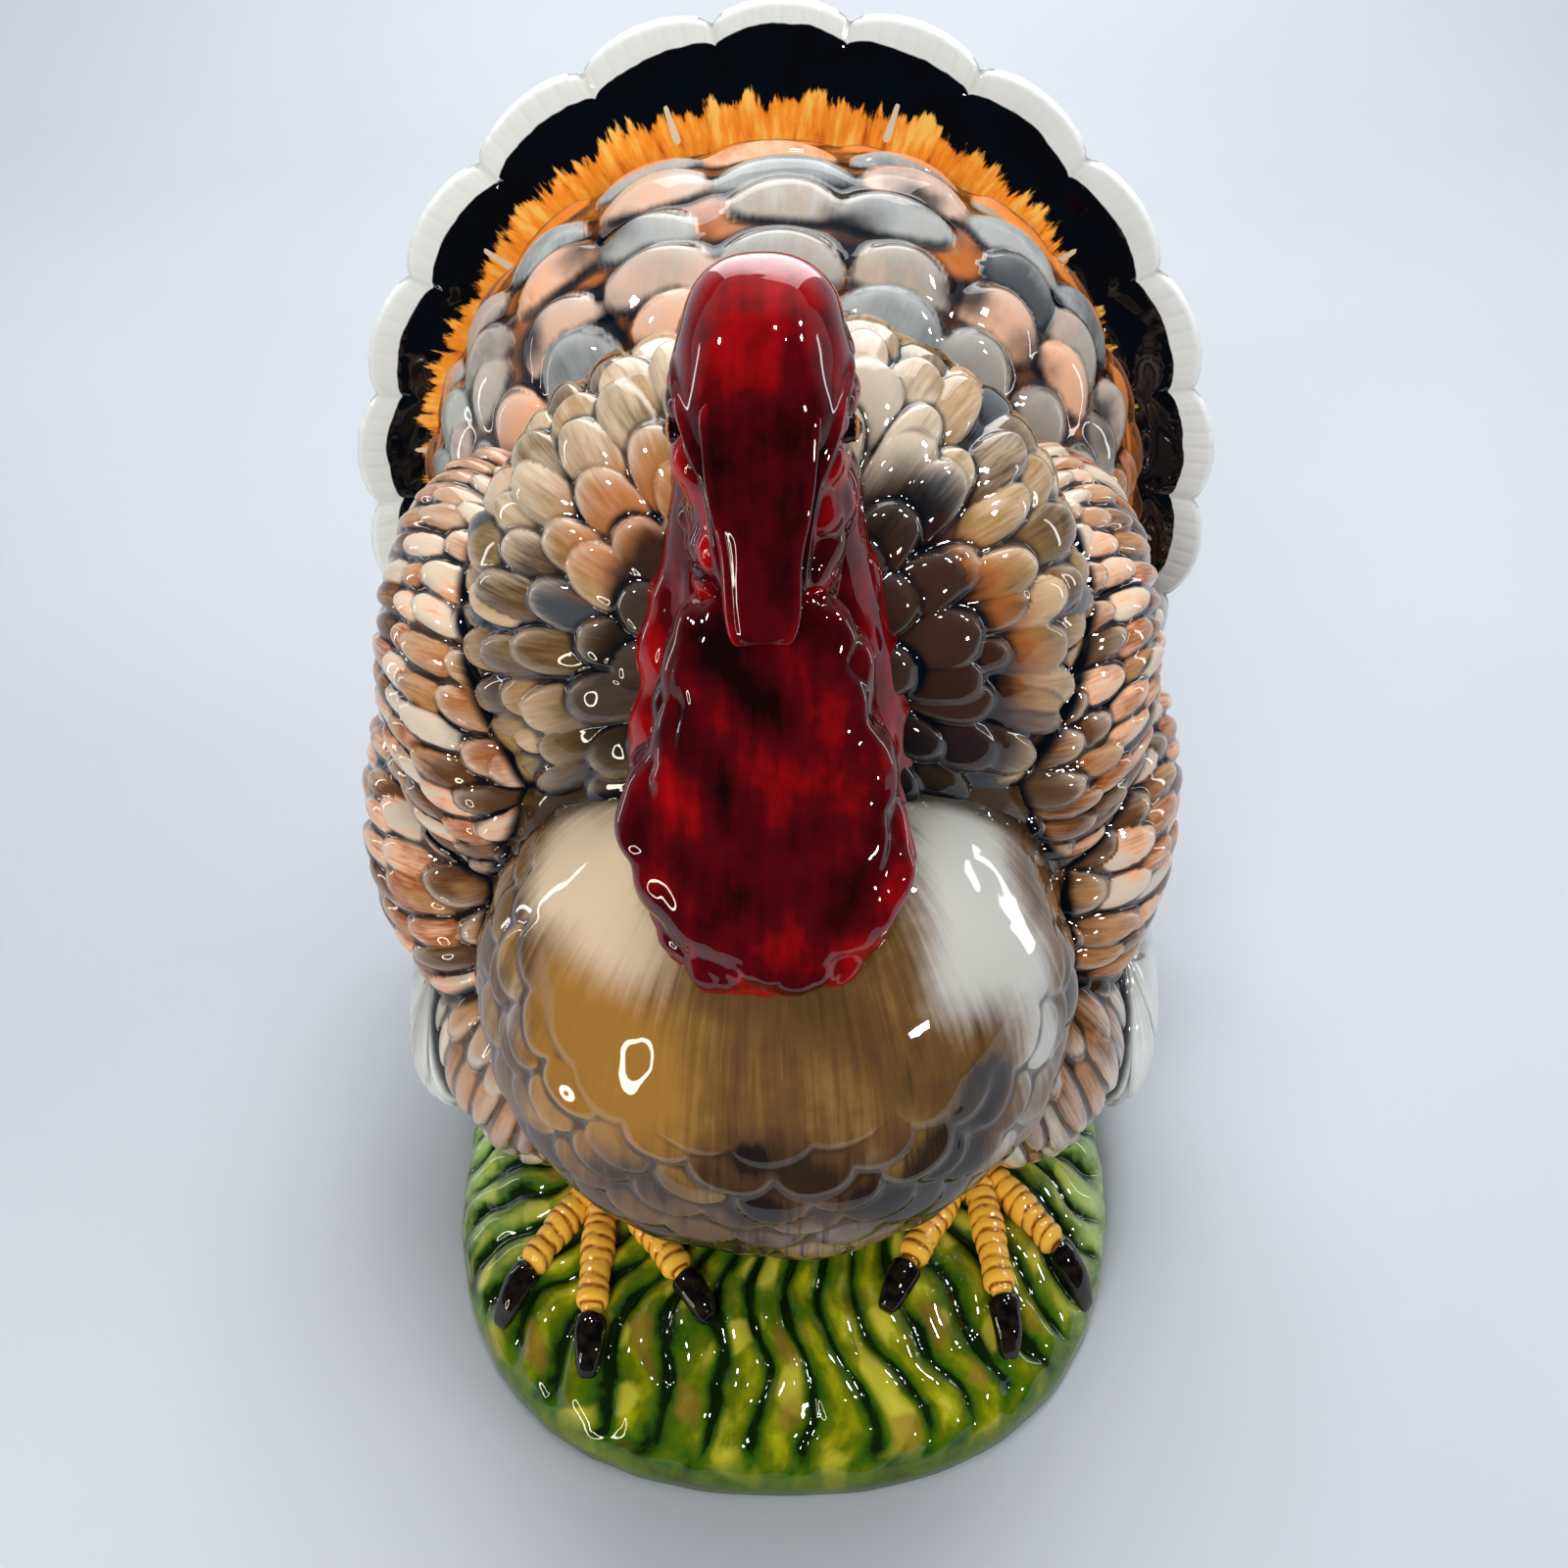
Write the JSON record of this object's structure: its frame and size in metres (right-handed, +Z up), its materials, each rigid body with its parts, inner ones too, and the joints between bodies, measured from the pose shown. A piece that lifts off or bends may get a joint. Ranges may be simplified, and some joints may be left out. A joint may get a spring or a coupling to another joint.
{
  "type": "turkey figure",
  "caption": "Hollow glazed ceramic turkey in full strut on a grass mound, with a fanned tail, feathered back, wings and red head, standing on a flat underside as a table centrepiece",
  "frame": {"origin": "middle of the mound's flat underside, where the figure rests", "axes": "+Z up, the turkey looks along -Y, its left wing is at +X"},
  "size_m": [0.3286, 0.3637, 0.366],
  "materials": {
    "grass_glaze": "high gloss hand-painted glaze",
    "breast_glaze": "high gloss hand-painted glaze",
    "flank_glaze": "high gloss hand-painted glaze",
    "cape_glaze": "high gloss hand-painted glaze",
    "covert_glaze": "high gloss hand-painted glaze",
    "rump_glaze": "high gloss hand-painted glaze",
    "fan_glaze": "high gloss hand-painted glaze",
    "wing_glaze": "high gloss hand-painted glaze",
    "quill_glaze": "high gloss hand-painted glaze",
    "toe_glaze": "high gloss hand-painted glaze",
    "claw_glaze": "high gloss glaze",
    "flesh_glaze": "high gloss glaze",
    "head_glaze": "high gloss glaze",
    "snood_glaze": "high gloss glaze",
    "wattle_glaze": "high gloss glaze",
    "beak_glaze": "high gloss glaze",
    "eye_glaze": "high gloss glaze"
  },
  "bodies": {
    "root": {"grass_mound": "grass_glaze", "body_shell": "breast_glaze", "back_cape": "cape_glaze", "tail_covert_dome": "covert_glaze", "tail_fan": "fan_glaze", "rump_coverts": "rump_glaze", "right_wing_shoulder": "wing_glaze", "right_lower_wing": "wing_glaze", "right_flank": "flank_glaze", "right_wing_quills": "quill_glaze", "right_shank": "toe_glaze", "right_outer_toe": "toe_glaze", "right_outer_claw": "claw_glaze", "right_middle_toe": "toe_glaze", "right_middle_claw": "claw_glaze", "right_inner_toe": "toe_glaze", "right_inner_claw": "claw_glaze", "left_wing_shoulder": "wing_glaze", "left_lower_wing": "wing_glaze", "left_flank": "flank_glaze", "left_wing_quills": "quill_glaze", "left_shank": "toe_glaze", "left_outer_toe": "toe_glaze", "left_outer_claw": "claw_glaze", "left_middle_toe": "toe_glaze", "left_middle_claw": "claw_glaze", "left_inner_toe": "toe_glaze", "left_inner_claw": "claw_glaze", "neck": "flesh_glaze", "head": "head_glaze", "snood": "snood_glaze", "beak": "beak_glaze", "wattle": "wattle_glaze", "right_eye": "eye_glaze", "left_eye": "eye_glaze"}
  },
  "joints": []
}
